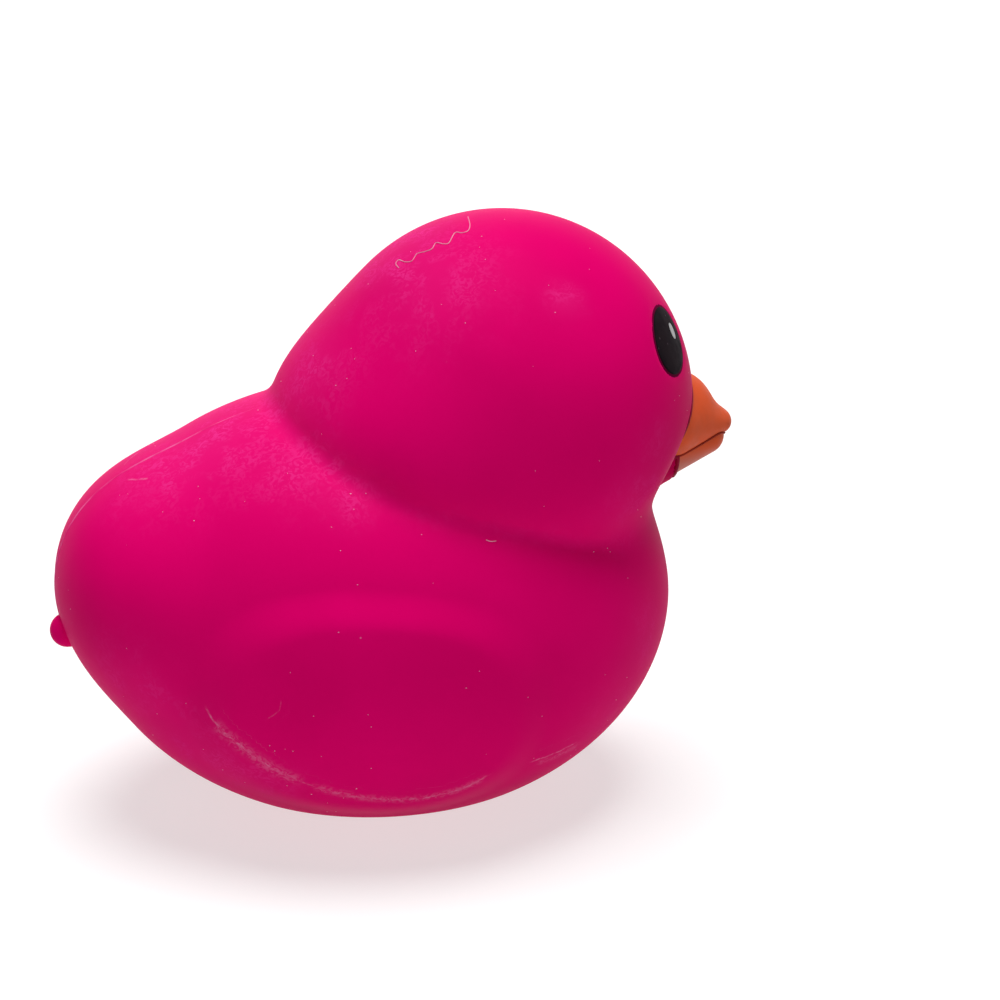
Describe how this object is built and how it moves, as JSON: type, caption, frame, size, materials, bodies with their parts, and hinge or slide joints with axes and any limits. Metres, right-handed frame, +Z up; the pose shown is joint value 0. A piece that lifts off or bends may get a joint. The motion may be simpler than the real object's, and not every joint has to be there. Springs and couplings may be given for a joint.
{
  "type": "rubber duck",
  "caption": "Hollow moulded vinyl toy duck with a round head, short beak, soft raised wings and a small tail, standing on a flat base.",
  "frame": {"origin": "the middle of the flat base, on the plane that the duck stands on", "axes": "+X towards the beak, +Y towards the duck's left wing, +Z up"},
  "size_m": [0.0884, 0.063, 0.0754],
  "materials": {
    "vinyl_pink": "matt soft vinyl",
    "beak_orange": "matt paint on vinyl",
    "eye_black": "satin paint on vinyl",
    "eye_light": "satin paint on vinyl"
  },
  "bodies": {
    "root": {"duck": "vinyl_pink"}
  },
  "joints": []
}
